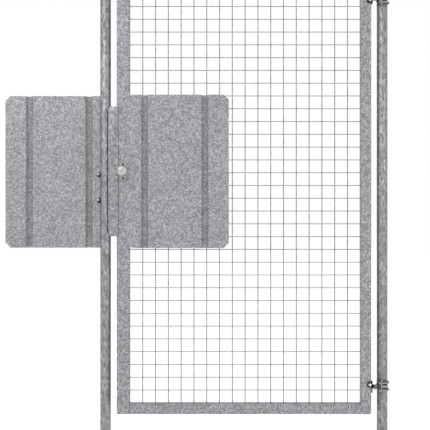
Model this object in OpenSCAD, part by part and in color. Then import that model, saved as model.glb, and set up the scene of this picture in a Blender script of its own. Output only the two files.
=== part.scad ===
// Pedestrian gate for a run of temporary fencing: two round posts, a mesh-filled leaf on two clamp
// hinges, a lock with a knob on both sides, and two ribbed guard plates that shield the lock.
// The origin is on the ground at the hinge post's axis. The leaf lies along -X, -Y is the outside
// face that the leaf opens towards, and +Z is up. All sizes are in millimetres.

/* [Posts] */
// Outside diameter of the round posts
post_d = 41.5; // [38:0.5:52]
// Wall thickness of the posts
post_wall = 2; // [1.5:0.1:4]
// Height of the posts above the ground
post_h = 2000; // [1960:10:2400]
// Clear gap between the leaf and each post
post_gap = 24.5; // [22:0.5:32]
// Thickness of the domed top of a post cap
cap_t = 3; // [2:0.5:5]
// Depth of the cap's spigot inside the post
cap_spigot = 18; // [10:1:30]
// Wall of the cap's spigot
cap_wall = 1.5; // [1:0.1:3]

/* [Leaf frame] */
// Width of the leaf over its stiles
leaf_w = 990; // [890:10:1190]
// Height of the leaf over its rails
leaf_h = 1730; // [1630:10:1780]
// Height of the leaf's underside above the ground
ground_gap = 150; // [60:5:180]
// Depth of the frame tubes from front to back
frame_depth = 40; // [38:1:60]
// Width of the stile that carries the lock
lock_stile_w = 50; // [46:1:70]
// Width of the stile that carries the hinges
hinge_stile_w = 40; // [36:1:60]
// Height of the top and bottom rails
rail_h = 40; // [30:1:60]
// Wall thickness of the frame tubes
frame_wall = 2; // [1.5:0.1:3]

/* [Mesh] */
// Distance between neighbouring wires
mesh_pitch = 50; // [40:1:75]
// Thickness of the upright wires
upright_wire = 4; // [3:0.5:6]
// Thickness of the cross wires
cross_wire = 3.5; // [2.5:0.5:5]

/* [Guard plates] */
// Width of each guard plate
plate_w = 396; // [340:1:440]
// Height of each guard plate
plate_h = 596; // [520:1:700]
// Sheet thickness of the guard plates
plate_t = 2; // [1.5:0.1:3]
// Size of the cut corners of the guard plates
plate_corner = 20; // [5:1:40]
// How far the leaf's plate laps over the lock stile
plate_lap = 10; // [5:1:12]
// Width of a pressed rib at the front of the sheet
rib_mouth = 27; // [22:1:36]
// Width of the flat floor of a pressed rib
rib_floor = 17; // [10:1:20]
// Distance from the plate's free edge to its outer rib
rib_free_inset = 93; // [60:1:120]
// Distance from the plate's post-side edge to its inner rib
rib_post_inset = 68; // [50:1:90]

/* [Stop strip] */
// Height of the stop strip
strip_h = 504; // [420:2:700]
// Thickness of the stop strip
strip_t = 3; // [2:0.5:6]
// How far the strip laps over the lock stile
strip_stile_lap = 7; // [5:0.5:9]
// How far the strip covers the latch post
strip_post_lap = 11; // [5:0.5:14]
// Width of the strip's cut outer corners
strip_corner_w = 10; // [4:1:20]
// Height of the strip's cut outer corners
strip_corner_h = 13; // [4:1:30]

/* [Lock] */
// Height of the knob's axis above the underside of the leaf
lock_h = 944; // [800:5:1100]
// Distance from the leaf's edge to the knob's axis
backset = 25; // [24:0.5:27]
// Drop from the knob's axis to the key cylinder's axis
cylinder_drop = 92; // [85:1:100]
// Diameter of the knob
knob_d = 45; // [40:1:50]
// Distance that the knob stands out from the leaf
knob_reach = 60; // [55:1:70]
// Diameter of the knob's neck
neck_d = 18; // [14:1:22]
// Side of the square spindle
spindle_s = 8; // [7:1:9]
// Width of the oval rose
rose_w = 30; // [28:1:33]
// Height of the oval rose
rose_h = 73; // [66:1:80]
// Thickness of the rose
rose_t = 8; // [6:1:12]
// Distance between the rose's screws
rose_screw_pitch = 54; // [46:1:56]
// Diameter of the rose's screw holes
rose_screw_d = 6; // [4:0.5:7]
// Diameter of the key cylinder's round part
cylinder_d = 17; // [16:0.5:18]
// Width of the key cylinder's lower part
cylinder_tail_w = 10; // [9:0.5:11]
// Height of the key cylinder over both parts
cylinder_h = 33; // [30:0.5:36]
// How far the key cylinder stands out from the stile
cylinder_proud = 4; // [2:0.5:8]
// Height of the lock case
case_h = 156; // [150:2:190]
// Depth of the lock case behind its forend
case_depth = 38; // [36:1:42]
// Thickness of the lock case from side to side
case_w = 18; // [16:1:22]
// Sheet thickness of the lock case
case_wall = 1.5; // [1:0.1:2]
// Height of the forend
forend_h = 184; // [180:2:240]
// Width of the forend
forend_w = 24; // [20:1:28]
// Thickness of the forend
forend_t = 3; // [2:0.5:3.5]

/* [Lock bolts] */
// Thickness of the latch bolt and the dead bolt
bolt_w = 11; // [8:0.5:13]
// Height of the latch bolt
latch_bolt_h = 22; // [16:1:26]
// Height of the dead bolt
dead_bolt_h = 28; // [20:1:30]
// Height of the latch bolt's centre above the middle of the keep
latch_rise = 29; // [26:1:32]
// Drop of the dead bolt's centre below the middle of the keep
dead_drop = 18; // [16:1:20]

/* [Keep] */
// Drop from the knob's axis to the middle of the keep
keep_drop = 62; // [56:1:68]
// Height of the keep
keep_h = 150; // [140:2:180]
// Width of the keep across the post
keep_w = 30; // [26:1:34]
// Sheet thickness of the keep
keep_t = 3; // [2:0.5:4]
// Clear gap between the keep and the edge of the leaf
keep_gap = 11; // [10.5:0.5:13]
// Distance between the two bolts that hold the keep
keep_bolt_pitch = 100; // [96:1:110]
// Clearance of a keep slot round its bolt on every side
keep_slot_play = 2; // [1.5:0.5:3]
// Diameter of the bolts that hold the keep
keep_bolt_d = 10; // [8:1:12]

/* [Hinges] */
// Height of the lower hinge above the leaf's underside
lower_hinge_h = 108; // [80:2:200]
// Depth of the upper hinge below the leaf's top
upper_hinge_h = 114; // [80:2:200]
// Distance of the pin's axis in front of the strap
pin_stand = 4; // [3:0.5:8]
// Distance of the pin's axis from the side of the post
pin_reach = 9.75; // [9:0.25:13]
// Diameter of the hinge pin
pin_d = 10; // [8:1:12]
// Wall of the barrel round the pin
barrel_wall = 3; // [2:0.5:4]
// Height of the barrel
barrel_h = 12.7; // [10:0.1:18]
// Thickness of the arm that carries the pin
arm_t = 5; // [4:0.5:8]
// Height of the bracket's band round the post
band_h = 12; // [10:1:12]
// Thickness of the bracket's band and wings
band_t = 4; // [3:0.5:4.5]
// Half of the opening at the back of the band, as an angle
band_open = 35; // [25:1:50]
// Height of the bracket's wings
wing_h = 56; // [50:1:70]
// How far the wings stand out past the clamp rods
wing_edge = 6; // [4:0.5:10]
// Distance between the two clamp rods of one hinge
rod_pitch = 28; // [27.5:0.5:36]
// Diameter of the clamp rods
rod_d = 8; // [6:0.5:8]
// Height of the strap on the stile
strap_h = 47; // [42:1:60]
// Thickness of the strap
strap_t = 5; // [4:0.5:6]
// How far the strap reaches over the stile
strap_lap = 18; // [16:0.5:24]
// Distance from the stile's edge to the strap's bolt
strap_bolt_edge = 7.5; // [7:0.5:10]
// Height of the strap's bolt above the middle of the hinge
strap_bolt_rise = 7; // [0:0.5:10]
// Diameter of the strap's bolt
strap_bolt_d = 8; // [6:0.5:9]
// Diameter of the bolt's domed head
dome_d = 22; // [18:0.5:24]
// Height of the bolt's domed head
dome_h = 6; // [4:0.5:8]

/* [Clearances] */
// Gap all round a piece that sits in a hole or a saddle
seat_gap = 0.25; // [0.1:0.05:0.4]
// Gap between a clamp rod and the post that it is bent round
rod_gap = 0.8; // [0.7:0.1:1.5]
// Gap between a clamp rod's nut and the post behind it
nut_gap = 0.5; // [0.3:0.1:1]
// Radial gap between a hinge pin and its barrel
pin_gap = 0.1; // [0.05:0.05:0.2]
// Gap between faces that turn on each other
turn_gap = 0.3; // [0.2:0.05:0.5]

/* [Hidden] */
$fn = 64;
// Small overlap that lets a cut break cleanly through a face
cut = 1;

// Colours
zinc = [0.62, 0.63, 0.65];
bright_zinc = [0.72, 0.73, 0.74];
satin = [0.80, 0.80, 0.79];
dark = [0.30, 0.30, 0.31];

// Places along X
post_r = post_d / 2;
post_bore_r = post_r - post_wall;
leaf_right = -post_r - post_gap;
leaf_left = leaf_right - leaf_w;
latch_post_x = leaf_left - post_gap - post_r;
mesh_w = leaf_w - lock_stile_w - hinge_stile_w;
mesh_left = leaf_left + lock_stile_w;
mesh_right = mesh_left + mesh_w;
lock_x = leaf_left + backset;

// Places along Y
frame_front = -frame_depth / 2;
frame_back = frame_depth / 2;
plate_front = frame_front - plate_t;

// Places along Z
leaf_bottom = ground_gap;
leaf_top = leaf_bottom + leaf_h;
mesh_bottom = leaf_bottom + rail_h;
mesh_h = leaf_h - 2 * rail_h;
mesh_top = mesh_bottom + mesh_h;
lock_z = leaf_bottom + lock_h;
cylinder_z = lock_z - cylinder_drop;
keep_z = lock_z - keep_drop;
lower_hinge_z = leaf_bottom + lower_hinge_h;
upper_hinge_z = leaf_top - upper_hinge_h;

// Mesh: wires stand on the pitch, counted from the lock stile and from the bottom rail, and the
// panel is drawn in three bands from the bottom up
mesh_bands = 3;
upright_count = ceil(mesh_w / mesh_pitch) - 1;
cross_count = ceil(mesh_h / mesh_pitch) - 1;
rows_per_band = ceil(cross_count / mesh_bands);

// Guard plates: the ribs of the leaf's plate reach back to the mesh and rest on it
rib_depth = -frame_front - upright_wire / 2;
rib_lean = atan(rib_depth / ((rib_mouth - rib_floor) / 2));
rib_fold = plate_t * tan(rib_lean / 2);

// Lock: the forend is let a little way into the case, and the bolts stop short of the cylinder
forend_let_in = 0.5;
bolt_tail_gap = 3;
// Gap between the end of the spindle and the bottom of its hole in the knob
spindle_end_gap = 1;

// Keep
keep_front_x = leaf_left - keep_gap;
keep_back_x = keep_front_x - keep_t;

// Fastener proportions: nut across flats, nut height, washer and head sizes from the thread
function flats(d) = 1.7 * d;
function nut_height(d) = 0.8 * d;
function hex_d(af) = af / cos(30);
hex_sides = 6;
washer_t = 1.6;
washer_d = 1.8;
cap_nut_dome = 0.6;
button_d = 1.8;
button_h = 0.25;
bolt_end = 3;

// Hinges
barrel_r = pin_d / 2 + pin_gap + barrel_wall;
arm_r = pin_d / 2 + barrel_wall;
// How far the pin stands out past the barrel
pin_end = 1;
hinge_stack = arm_t + turn_gap + barrel_h + pin_end;
band_r = post_r + seat_gap;
pin_front = -frame_front + strap_t + pin_stand;
pin_side = post_r + pin_reach;
rod_y = post_r + rod_gap + rod_d / 2;
rod_hole_r = rod_d / 2 + seat_gap;
// A nut turns a flat to the post, and the wings stand where the post curves away from that flat
nut_in = rod_y - flats(rod_d) / 2;
wing_x = -sqrt(post_r * post_r - pow(nut_in - nut_gap, 2));
// How far a clamp rod's ends stand out of their nuts
rod_end = 1;
// Shift of the strap's shoulder towards the pin, and how far its tab runs in behind the fins
shoulder_shift = 1;

module along_x() { rotate([0, 90, 0]) children(); }
module along_y() { rotate([-90, 0, 0]) children(); }

// ---- Posts --------------------------------------------------------------------------------

module round_post(x) {
    translate([x, 0, 0])
        difference() {
            cylinder(r = post_r, h = post_h);
            translate([0, 0, -cut]) cylinder(r = post_bore_r, h = post_h + 2 * cut);
            children();
        }
}

module post_cap(x) {
    spigot_r = post_bore_r - seat_gap;
    translate([x, 0, post_h]) {
        cylinder(r1 = post_r, r2 = post_r - cap_t, h = cap_t);
        difference() {
            translate([0, 0, -cap_spigot]) cylinder(r = spigot_r, h = cap_spigot);
            translate([0, 0, -cap_spigot - cut]) cylinder(r = spigot_r - cap_wall, h = cap_spigot + cut);
        }
    }
}

module hinge_post() { color(zinc) round_post(0); }
module hinge_post_cap() { color(zinc) post_cap(0); }
module latch_post() { color(zinc) round_post(latch_post_x) keep_bolt_holes(); }
module latch_post_cap() { color(zinc) post_cap(latch_post_x); }

// Holes through the latch post, and through the keep, for the two keep bolts
module keep_bolt_holes() {
    for (side = [-1, 1])
        translate([-2 * post_r, 0, keep_z + side * keep_bolt_pitch / 2])
            along_x() cylinder(r = keep_bolt_d / 2 + seat_gap, h = 4 * post_r + post_gap);
}

// ---- Guard plates -------------------------------------------------------------------------

// Cross-section of the sheet from its post side, at x = 0, to its free edge: y grows to the back
module sheet_section() {
    ribs = [rib_post_inset, plate_w - rib_free_inset];
    function trough(c, widen, y) = [
        [c - rib_mouth / 2 - widen, y],
        [c - rib_floor / 2 - widen, y + rib_depth],
        [c + rib_floor / 2 + widen, y + rib_depth],
        [c + rib_mouth / 2 + widen, y]
    ];
    front = [[0, 0], each trough(ribs[0], 0, 0), each trough(ribs[1], 0, 0), [plate_w, 0]];
    back = [
        [0, plate_t],
        each trough(ribs[0], rib_fold, plate_t),
        each trough(ribs[1], rib_fold, plate_t),
        [plate_w, plate_t]
    ];
    polygon([each front, for (i = [len(back) - 1:-1:0]) back[i]]);
}

// One ribbed sheet with its four corners cut off, its middle at the height of the knob
module guard_plate() {
    deep = rib_depth + plate_t + cut;
    difference() {
        translate([0, 0, -plate_h / 2]) linear_extrude(plate_h) sheet_section();
        for (x = [0, plate_w], z = [-plate_h / 2, plate_h / 2])
            translate([x, deep, z])
                rotate([90, 0, 0])
                    linear_extrude(deep + cut)
                        circle(r = plate_corner, $fn = 4);
    }
}

// Its sheet is welded to the back of the latch post and carries on under the fence panel beside it
module post_guard_plate() {
    color(zinc)
        translate([latch_post_x, post_r, lock_z])
            mirror([1, 0, 0]) guard_plate();
}

module leaf_guard_plate() {
    color(zinc)
        translate([mesh_left - plate_lap, plate_front, lock_z]) guard_plate();
}

// ---- Keep and its bolts -------------------------------------------------------------------

module keep() {
    depth = keep_front_x - latch_post_x;
    color(zinc)
        difference() {
            translate([latch_post_x, -keep_w / 2, keep_z - keep_h / 2]) cube([depth, keep_w, keep_h]);
            translate([latch_post_x - cut, -keep_w / 2 + keep_t, keep_z - keep_h / 2 - cut])
                cube([depth - keep_t + cut, keep_w - 2 * keep_t, keep_h + 2 * cut]);
            translate([latch_post_x, 0, keep_z - keep_h / 2 - cut])
                cylinder(r = post_r + seat_gap, h = keep_h + 2 * cut);
            translate([latch_post_x, 0, 0]) keep_bolt_holes();
            keep_slot(latch_rise, latch_bolt_h);
            keep_slot(-dead_drop, dead_bolt_h);
        }
}

// Slot in the keep's face for a bolt of height h, its centre rise above the keep's middle
module keep_slot(rise, h) {
    slot_w = bolt_w + 2 * keep_slot_play;
    slot_h = h + 2 * keep_slot_play;
    translate([keep_back_x - cut, -slot_w / 2, keep_z + rise - slot_h / 2])
        cube([keep_t + 2 * cut, slot_w, slot_h]);
}

// A button-headed bolt at the keep, and a washer and a cap nut on the far side of the post
module keep_bolt() {
    nut_x = latch_post_x - post_r - washer_t;
    nut_h = nut_height(keep_bolt_d);
    nut_r = flats(keep_bolt_d) / 2;
    translate([nut_x - nut_h, 0, 0])
        along_x() cylinder(r = keep_bolt_d / 2, h = keep_front_x - nut_x + nut_h);
    translate([nut_x, 0, 0]) along_x() cylinder(r = keep_bolt_d, h = washer_t);
    translate([nut_x - nut_h, 0, 0])
        along_x() rotate([0, 0, 90]) cylinder(d = hex_d(flats(keep_bolt_d)), h = nut_h, $fn = hex_sides);
    translate([nut_x - nut_h, 0, 0])
        along_x() mirror([0, 0, 1]) cylinder(r1 = nut_r, r2 = nut_r / 2, h = cap_nut_dome * nut_h);
    translate([keep_front_x, 0, 0])
        along_x() cylinder(r1 = button_d * keep_bolt_d / 2, r2 = keep_bolt_d / 2, h = button_h * keep_bolt_d);
}

module keep_bolts() {
    color(bright_zinc)
        for (side = [-1, 1])
            translate([0, 0, keep_z + side * keep_bolt_pitch / 2]) keep_bolt();
}

// ---- Hinges -------------------------------------------------------------------------------

// A hinge is drawn with its arm below the barrel. The upper one is turned over, which locks the
// leaf against being lifted off.
module at_lower_hinge() { translate([0, 0, lower_hinge_z]) children(); }
module at_upper_hinge() { translate([0, 0, upper_hinge_z]) mirror([0, 0, 1]) children(); }

// C-shaped band round the post, with a wing on each side and an arm that carries the upright pin
module hinge_bracket() {
    outer_r = band_r + band_t;
    wing_in = sqrt(band_r * band_r - wing_x * wing_x);
    wing_out = rod_y + rod_d / 2 + wing_edge;
    difference() {
        union() {
            difference() {
                translate([0, 0, -band_h / 2]) cylinder(r = outer_r, h = band_h);
                translate([0, 0, -band_h / 2 - cut])
                    linear_extrude(band_h + 2 * cut)
                        polygon([
                            [0, 0],
                            [2 * outer_r * cos(band_open), -2 * outer_r * sin(band_open)],
                            [2 * outer_r * cos(band_open), 2 * outer_r * sin(band_open)]
                        ]);
            }
            for (side = [-1, 1])
                translate([wing_x, 0, 0]) wing(side, wing_in, wing_out);
            translate([0, 0, -hinge_stack / 2]) arm();
        }
        translate([0, 0, -wing_h]) cylinder(r = band_r, h = 2 * wing_h);
        for (side = [-1, 1], z = [-rod_pitch / 2, rod_pitch / 2])
            translate([wing_x - cut, side * rod_y, z])
                along_x() cylinder(r = rod_hole_r, h = band_t + 2 * cut);
    }
    translate([-pin_side, -pin_front, -hinge_stack / 2]) cylinder(r = pin_d / 2, h = hinge_stack);
}

// Upright wing that the clamp rods pass through, wide at the band and cut back at its corners
module wing(side, y_in, y_out) {
    corner = (y_out - y_in) / 2;
    half = wing_h / 2;
    multmatrix([[0, 0, 1, 0], [side, 0, 0, 0], [0, 1, 0, 0], [0, 0, 0, 1]])
        linear_extrude(band_t)
            polygon([
                [y_in, -half], [y_out - corner, -half], [y_out, -half + corner],
                [y_out, half - corner], [y_out - corner, half], [y_in, half]
            ]);
}

// Flat arm from the band out to the pin
module arm() {
    toward = atan2(pin_front, pin_side);
    band_mid_r = band_r + band_t / 2;
    side_x = arm_r * sin(toward);
    side_y = arm_r * cos(toward);
    linear_extrude(arm_t)
        union() {
            translate([-pin_side, -pin_front]) circle(r = arm_r);
            polygon([
                [-pin_side - side_x, -pin_front + side_y],
                [-band_mid_r, 0],
                [-band_mid_r * cos(toward), -band_mid_r * sin(toward)],
                [-pin_side + side_x, -pin_front - side_y]
            ]);
        }
}

// One rod bent round the post, its two threaded ends through the wings and their nuts
module clamp_rod() {
    nut_h = nut_height(rod_d);
    leg = -wing_x + nut_h + rod_end;
    rotate([0, 0, -90]) rotate_extrude(angle = 180) translate([rod_y, 0]) circle(r = rod_d / 2);
    for (side = [-1, 1]) {
        translate([-leg, side * rod_y, 0]) along_x() cylinder(r = rod_d / 2, h = leg);
        translate([wing_x - nut_h, side * rod_y, 0])
            along_x() cylinder(d = hex_d(flats(rod_d)), h = nut_h, $fn = hex_sides);
    }
}

module clamp_rods() {
    for (z = [-rod_pitch / 2, rod_pitch / 2])
        translate([0, 0, z]) clamp_rod();
}

// Flat strap on the front of the stile: a round tab under the bolt's head, two fins that stand up
// and down past the stile's edge, and a neck that narrows to the barrel on the pin
module hinge_strap() {
    stack_base = -hinge_stack / 2;
    barrel_base = stack_base + arm_t + turn_gap;
    barrel_top = barrel_base + barrel_h;
    waist_x = -pin_side - barrel_r - turn_gap;
    tip_x = (leaf_right + waist_x) / 2 + shoulder_shift;
    half = strap_h / 2;
    tab_r = strap_lap - strap_bolt_edge;
    difference() {
        union() {
            translate([0, frame_front, 0])
                rotate([90, 0, 0])
                    linear_extrude(strap_t) {
                        translate([leaf_right - strap_bolt_edge, strap_bolt_rise]) circle(r = tab_r);
                        translate([leaf_right - strap_bolt_edge, strap_bolt_rise - tab_r])
                            square([strap_bolt_edge + shoulder_shift, 2 * tab_r]);
                        polygon([
                            [leaf_right, -half],
                            [tip_x, -half],
                            [waist_x - strap_t / 2, -half / 2],
                            [waist_x, barrel_base],
                            [-pin_side, barrel_base],
                            [-pin_side, barrel_top],
                            [waist_x, barrel_top],
                            [waist_x - strap_t / 2, half / 2],
                            [tip_x, half],
                            [leaf_right, half]
                        ]);
                    }
            translate([-pin_side, -pin_front, barrel_base]) cylinder(r = barrel_r, h = barrel_h);
        }
        translate([-pin_side, -pin_front, barrel_base - cut])
            cylinder(r = pin_d / 2 + pin_gap, h = barrel_h + 2 * cut);
        strap_bolt_hole();
    }
}

module strap_bolt_hole() {
    translate([leaf_right - strap_bolt_edge, frame_front - strap_t - cut, strap_bolt_rise])
        along_y() cylinder(r = strap_bolt_d / 2 + seat_gap, h = frame_depth + strap_t + 2 * cut);
}

// Dome-headed bolt through strap and stile, with a washer and a nut at the back
module strap_bolt() {
    nut_h = nut_height(strap_bolt_d);
    head_y = frame_front - strap_t;
    // Radius of the sphere that gives a dome of this width and height
    ball_r = (dome_d * dome_d / 4 + dome_h * dome_h) / (2 * dome_h);
    translate([leaf_right - strap_bolt_edge, 0, strap_bolt_rise]) {
        intersection() {
            translate([0, head_y - dome_h + ball_r, 0]) sphere(r = ball_r);
            translate([0, head_y - dome_h, 0]) along_y() cylinder(r = dome_d / 2, h = dome_h);
        }
        translate([0, head_y, 0])
            along_y() cylinder(r = strap_bolt_d / 2, h = strap_t + frame_depth + washer_t + nut_h + bolt_end);
        translate([0, frame_back, 0]) along_y() cylinder(d = washer_d * strap_bolt_d, h = washer_t);
        translate([0, frame_back + washer_t, 0])
            along_y() cylinder(d = hex_d(flats(strap_bolt_d)), h = nut_h, $fn = hex_sides);
    }
}

module lower_hinge_bracket() { color(zinc) at_lower_hinge() hinge_bracket(); }
module upper_hinge_bracket() { color(zinc) at_upper_hinge() hinge_bracket(); }
module lower_clamp_rods() { color(bright_zinc) at_lower_hinge() clamp_rods(); }
module upper_clamp_rods() { color(bright_zinc) at_upper_hinge() clamp_rods(); }
module lower_hinge_strap() { color(dark) at_lower_hinge() hinge_strap(); }
module upper_hinge_strap() { color(dark) at_upper_hinge() hinge_strap(); }
module lower_strap_bolt() { color(bright_zinc) at_lower_hinge() strap_bolt(); }
module upper_strap_bolt() { color(bright_zinc) at_upper_hinge() strap_bolt(); }

// ---- Leaf frame ---------------------------------------------------------------------------

// Rectangular tube with both ends plated shut
module closed_tube(size) {
    difference() {
        cube(size);
        translate([frame_wall, frame_wall, frame_wall])
            cube([for (side = size) side - 2 * frame_wall]);
    }
}

// Rectangular tube along X between the stiles, which close its ends
module open_rail(z) {
    translate([mesh_left, frame_front, z])
        difference() {
            cube([mesh_w, frame_depth, rail_h]);
            translate([-cut, frame_wall, frame_wall])
                cube([
                    mesh_w + 2 * cut,
                    frame_depth - 2 * frame_wall,
                    rail_h - 2 * frame_wall
                ]);
        }
}

module lock_stile() {
    slot_w = forend_w + 2 * seat_gap;
    slot_h = forend_h + 2 * seat_gap;
    color(zinc)
        difference() {
            translate([leaf_left, frame_front, leaf_bottom])
                closed_tube([lock_stile_w, frame_depth, leaf_h]);
            translate([leaf_left - cut, -slot_w / 2, keep_z - slot_h / 2])
                cube([frame_wall + 2 * cut, slot_w, slot_h]);
            translate([lock_x, frame_front - cut, lock_z])
                along_y() cylinder(r = neck_d / 2 + seat_gap, h = frame_depth + 2 * cut);
            through_stile() cylinder_section(seat_gap);
        }
}

module hinge_stile() {
    color(zinc)
        difference() {
            translate([mesh_right, frame_front, leaf_bottom])
                closed_tube([hinge_stile_w, frame_depth, leaf_h]);
            at_lower_hinge() strap_bolt_hole();
            at_upper_hinge() strap_bolt_hole();
        }
}

module bottom_rail() { color(zinc) open_rail(leaf_bottom); }
module top_rail() { color(zinc) open_rail(mesh_top); }

// ---- Mesh ---------------------------------------------------------------------------------

// Cross wires first to last, counted from 1 at the bottom, and the uprights between two heights
module mesh_band(first, last, z_from, z_to) {
    for (i = [1:upright_count])
        translate([mesh_left + i * mesh_pitch - upright_wire / 2, -upright_wire / 2, z_from])
            cube([upright_wire, upright_wire, z_to - z_from]);
    for (i = [first:last])
        translate([mesh_left, -cross_wire / 2, mesh_bottom + i * mesh_pitch - cross_wire / 2])
            cube([mesh_w, cross_wire, cross_wire]);
}

// Height midway between cross wire i and the next
function mesh_split(i) = mesh_bottom + (i + 0.5) * mesh_pitch;

module mesh_lower() {
    color(bright_zinc) mesh_band(1, rows_per_band, mesh_bottom, mesh_split(rows_per_band));
}
module mesh_middle() {
    color(bright_zinc)
        mesh_band(
            rows_per_band + 1,
            2 * rows_per_band,
            mesh_split(rows_per_band),
            mesh_split(2 * rows_per_band)
        );
}
module mesh_upper() {
    color(bright_zinc)
        mesh_band(2 * rows_per_band + 1, cross_count, mesh_split(2 * rows_per_band), mesh_top);
}

// ---- Stop strip ---------------------------------------------------------------------------

// Flat strip welded to the front of the lock stile, which closes the gap and meets the latch post
module stop_strip() {
    strip_w = strip_stile_lap + post_gap + strip_post_lap;
    half = strip_h / 2;
    color(zinc)
        translate([leaf_left + strip_stile_lap - strip_w, frame_front, lock_z])
            rotate([90, 0, 0])
                linear_extrude(strip_t)
                    polygon([
                        [0, -half + strip_corner_h], [strip_corner_w, -half], [strip_w, -half],
                        [strip_w, half], [strip_corner_w, half], [0, half - strip_corner_h]
                    ]);
}

// ---- Lock ---------------------------------------------------------------------------------

// Outline of the key cylinder, round above and narrow below, grown by play on every side
module cylinder_section(play) {
    tail_drop = cylinder_h - cylinder_d / 2 - cylinder_tail_w / 2;
    circle(r = cylinder_d / 2 + play);
    translate([-cylinder_tail_w / 2 - play, -tail_drop]) square([cylinder_tail_w + 2 * play, tail_drop]);
    translate([0, -tail_drop]) circle(r = cylinder_tail_w / 2 + play);
}

// Carries an outline drawn at the key cylinder's axis right through the stile
module through_stile() {
    translate([lock_x, frame_back + cut, cylinder_z])
        rotate([90, 0, 0]) linear_extrude(frame_depth + 2 * cut) children();
}

module lock_case() {
    case_left = leaf_left + frame_wall;
    forend_back = case_left + forend_let_in;
    color(satin)
        difference() {
            union() {
                translate([case_left, -case_w / 2, keep_z - case_h / 2]) cube([case_depth, case_w, case_h]);
                translate([forend_back - forend_t, -forend_w / 2, keep_z - forend_h / 2])
                    cube([forend_t, forend_w, forend_h]);
            }
            translate([forend_back, -case_w / 2 + case_wall, keep_z - case_h / 2 + case_wall])
                cube([
                    case_depth - forend_let_in - case_wall,
                    case_w - 2 * case_wall,
                    case_h - 2 * case_wall
                ]);
            translate([lock_x, -case_w, lock_z]) along_y() cylinder(r = neck_d / 2, h = 2 * case_w);
            through_stile() cylinder_section(seat_gap);
            forend_slot(latch_rise, latch_bolt_h);
            forend_slot(-dead_drop, dead_bolt_h);
        }
}

// Slot in the forend for a bolt of height h, its centre rise above the keep's middle
module forend_slot(rise, h) {
    slot_w = bolt_w + 2 * seat_gap;
    slot_h = h + 2 * seat_gap;
    translate([leaf_left - forend_t, -slot_w / 2, keep_z + rise - slot_h / 2])
        cube([2 * forend_t + cut, slot_w, slot_h]);
}

// Latch bolt and dead bolt, both drawn back flush with the forend so that the leaf can swing
module lock_bolts() {
    reach = backset - cylinder_d / 2 - bolt_tail_gap;
    color(bright_zinc) {
        translate([leaf_left, -bolt_w / 2, keep_z + latch_rise - latch_bolt_h / 2])
            cube([reach, bolt_w, latch_bolt_h]);
        translate([leaf_left, -bolt_w / 2, keep_z - dead_drop - dead_bolt_h / 2])
            cube([reach, bolt_w, dead_bolt_h]);
    }
}

// Oval plate round the knob's neck, drawn for the outside face
module rose() {
    straight = rose_h - rose_w;
    translate([lock_x, frame_front, lock_z])
        rotate([90, 0, 0])
            difference() {
                linear_extrude(rose_t)
                    union() {
                        square([rose_w, straight], center = true);
                        for (side = [-1, 1]) translate([0, side * straight / 2]) circle(r = rose_w / 2);
                    }
                translate([0, 0, -cut]) cylinder(r = neck_d / 2 + turn_gap, h = rose_t + 2 * cut);
                for (side = [-1, 1])
                    translate([0, side * rose_screw_pitch / 2, -cut])
                        cylinder(r = rose_screw_d / 2, h = rose_t + 2 * cut);
            }
}

module outer_rose() { color(satin) rose(); }
module inner_rose() { color(satin) mirror([0, 1, 0]) rose(); }

module key_cylinder() {
    color(bright_zinc)
        translate([lock_x, frame_back + cylinder_proud, cylinder_z])
            rotate([90, 0, 0])
                linear_extrude(frame_depth + 2 * cylinder_proud) cylinder_section(0);
}

// Turned knob: its neck starts inside the rose and its head is a flattened ball
module knob() {
    neck_r = neck_d / 2;
    head_r = knob_d / 2;
    head_t = knob_reach - rose_t - neck_r;
    spindle_hole = spindle_s + 2 * seat_gap;
    translate([lock_x, frame_front, lock_z])
        rotate([90, 0, 0])
            difference() {
                union() {
                    cylinder(r = neck_r, h = knob_reach - head_t / 2);
                    translate([0, 0, knob_reach - head_t]) knob_head(head_r, head_t, neck_r);
                }
                translate([-spindle_hole / 2, -spindle_hole / 2, -cut])
                    cube([spindle_hole, spindle_hole, knob_reach - head_t / 2 + cut]);
            }
}

// Half outline of the knob's head as a rounded diamond, spun about the knob's axis
module knob_head(head_r, head_t, neck_r) {
    steps = 14;
    // Under 1 is a diamond and 1 is an ellipse; this keeps the rim full and the face flat
    fullness = 0.75;
    rotate_extrude()
        polygon([
            [0, 0],
            for (i = [0:steps])
                let (a = -90 + 180 * i / steps)
                    [
                        max(neck_r * (a < 0 ? 1 : 0), head_r * pow(cos(a), fullness)),
                        head_t / 2 * (1 + sign(a) * pow(abs(sin(a)), 1 / fullness))
                    ],
            [0, head_t]
        ]);
}

module outer_knob() { color(satin) knob(); }
module inner_knob() { color(satin) mirror([0, 1, 0]) knob(); }

module spindle() {
    head_t = knob_reach - rose_t - neck_d / 2;
    half = frame_depth / 2 + knob_reach - head_t / 2 - spindle_end_gap;
    color(bright_zinc)
        translate([lock_x - spindle_s / 2, -half, lock_z - spindle_s / 2])
            cube([spindle_s, 2 * half, spindle_s]);
}

hinge_post();
hinge_post_cap();
latch_post();
latch_post_cap();
post_guard_plate();
keep();
keep_bolts();
lower_hinge_bracket();
lower_clamp_rods();
upper_hinge_bracket();
upper_clamp_rods();
lock_stile();
hinge_stile();
top_rail();
bottom_rail();
mesh_lower();
mesh_middle();
mesh_upper();
leaf_guard_plate();
stop_strip();
lock_case();
lock_bolts();
outer_rose();
inner_rose();
key_cylinder();
lower_hinge_strap();
upper_hinge_strap();
lower_strap_bolt();
upper_strap_bolt();
outer_knob();
inner_knob();
spindle();
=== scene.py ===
import math
import bmesh
import bpy
from mathutils import Matrix, Vector


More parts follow.
